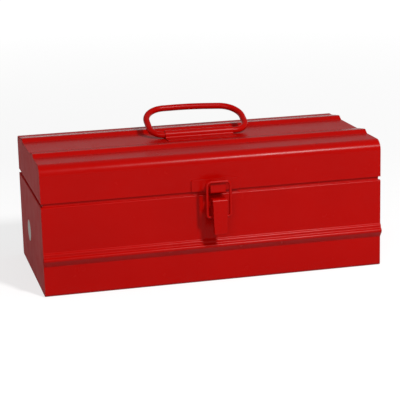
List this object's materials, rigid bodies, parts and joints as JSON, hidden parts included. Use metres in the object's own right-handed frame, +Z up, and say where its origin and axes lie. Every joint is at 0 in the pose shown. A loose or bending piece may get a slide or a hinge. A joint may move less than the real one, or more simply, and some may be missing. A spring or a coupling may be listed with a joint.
{
  "type": "cantilever tool box",
  "caption": "Sheet-steel cantilever tool box: ribbed lid hinged at the rear, a tray that rises on end arms as the lid opens, a racetrack loop handle and a front draw latch.",
  "frame": {"origin": "centre of the flat underside, on the surface that the box stands on", "axes": "+X along the box to the right, -Y towards the front with the latch, +Z up"},
  "size_m": [0.361, 0.1971, 0.1638],
  "materials": {
    "red_paint": "gloss",
    "zinc_plate": "satin"
  },
  "bodies": {
    "body": {"body_shell": "red_paint", "body_end_left": "red_paint", "body_end_right": "red_paint", "body_pivot_studs": "zinc_plate", "hinge_leaf_body": "red_paint", "hinge_pin": "red_paint", "latch_base": "red_paint", "latch_pin": "red_paint"},
    "lid": {"lid_shell": "red_paint", "lid_end_left": "red_paint", "lid_end_right": "red_paint", "hinge_leaf_lid": "red_paint", "catch_plate": "red_paint", "handle_bracket": "red_paint", "lid_link_studs": "zinc_plate"},
    "handle": {"handle_loop": "red_paint"},
    "lever": {"latch_lever": "red_paint"},
    "bail": {"latch_bail": "red_paint"},
    "front_arm_left": {"front_arm_left": "zinc_plate"},
    "front_arm_right": {"front_arm_right": "zinc_plate"},
    "rear_arm_left": {"rear_arm_left": "zinc_plate", "link_stud_left": "zinc_plate"},
    "rear_arm_right": {"rear_arm_right": "zinc_plate", "link_stud_right": "zinc_plate"},
    "tray": {"tray_pan": "red_paint", "tray_dividers": "red_paint", "tray_studs": "zinc_plate"},
    "lid_link_left": {"lid_link_left": "zinc_plate"},
    "lid_link_right": {"lid_link_right": "zinc_plate"}
  },
  "joints": [
    {"name": "lid_hinge", "type": "hinge", "parent": "body", "child": "lid", "pos_m": [0, 0.08855, 0.09565], "axis": [-1, 0, 0], "range_deg": [0, 100]},
    {"name": "handle_pivot", "type": "hinge", "parent": "lid", "child": "handle", "pos_m": [0, 0.00621, 0.1399], "axis": [-1, 0, 0], "range_deg": [-152, 17]},
    {"name": "latch_lever_pivot", "type": "hinge", "parent": "body", "child": "lever", "pos_m": [0, -0.097, 0.0854], "axis": [-1, 0, 0], "range_deg": [0, 110]},
    {"name": "latch_bail_pivot", "type": "hinge", "parent": "lever", "child": "bail", "pos_m": [0, -0.0997, 0.0729], "axis": [-1, 0, 0], "range_deg": [-110, 0]},
    {"name": "front_arm_left_pivot", "type": "hinge", "parent": "body", "child": "front_arm_left", "pos_m": [0, -0.00966, 0.0854], "axis": [-1, 0, 0], "range_deg": [0, 100]},
    {"name": "front_arm_right_pivot", "type": "hinge", "parent": "body", "child": "front_arm_right", "pos_m": [0, -0.00966, 0.0854], "axis": [-1, 0, 0], "range_deg": [0, 100]},
    {"name": "rear_arm_left_pivot", "type": "hinge", "parent": "body", "child": "rear_arm_left", "pos_m": [0, 0.05835, 0.0854], "axis": [-1, 0, 0], "range_deg": [0, 100]},
    {"name": "rear_arm_right_pivot", "type": "hinge", "parent": "body", "child": "rear_arm_right", "pos_m": [0, 0.05835, 0.0854], "axis": [-1, 0, 0], "range_deg": [0, 100]},
    {"name": "tray_pivot", "type": "hinge", "parent": "rear_arm_left", "child": "tray", "pos_m": [0, 0.00901, 0.06343], "axis": [-1, 0, 0], "range_deg": [-100, 0]},
    {"name": "lid_link_left_pivot", "type": "hinge", "parent": "lid", "child": "lid_link_left", "pos_m": [0, 0.06775, 0.10765], "axis": [-1, 0, 0], "range_deg": [-100, 0]},
    {"name": "lid_link_right_pivot", "type": "hinge", "parent": "lid", "child": "lid_link_right", "pos_m": [0, 0.06775, 0.10765], "axis": [-1, 0, 0], "range_deg": [-100, 0]}
  ],
  "couplings": [
    {"joint": "latch_bail_pivot", "follows": "latch_lever_pivot", "ratio": -1},
    {"joint": "front_arm_left_pivot", "follows": "lid_hinge", "ratio": 1},
    {"joint": "front_arm_right_pivot", "follows": "lid_hinge", "ratio": 1},
    {"joint": "rear_arm_left_pivot", "follows": "lid_hinge", "ratio": 1},
    {"joint": "rear_arm_right_pivot", "follows": "lid_hinge", "ratio": 1},
    {"joint": "tray_pivot", "follows": "lid_hinge", "ratio": -1},
    {"joint": "lid_link_left_pivot", "follows": "lid_hinge", "ratio": -1},
    {"joint": "lid_link_right_pivot", "follows": "lid_hinge", "ratio": -1}
  ]
}
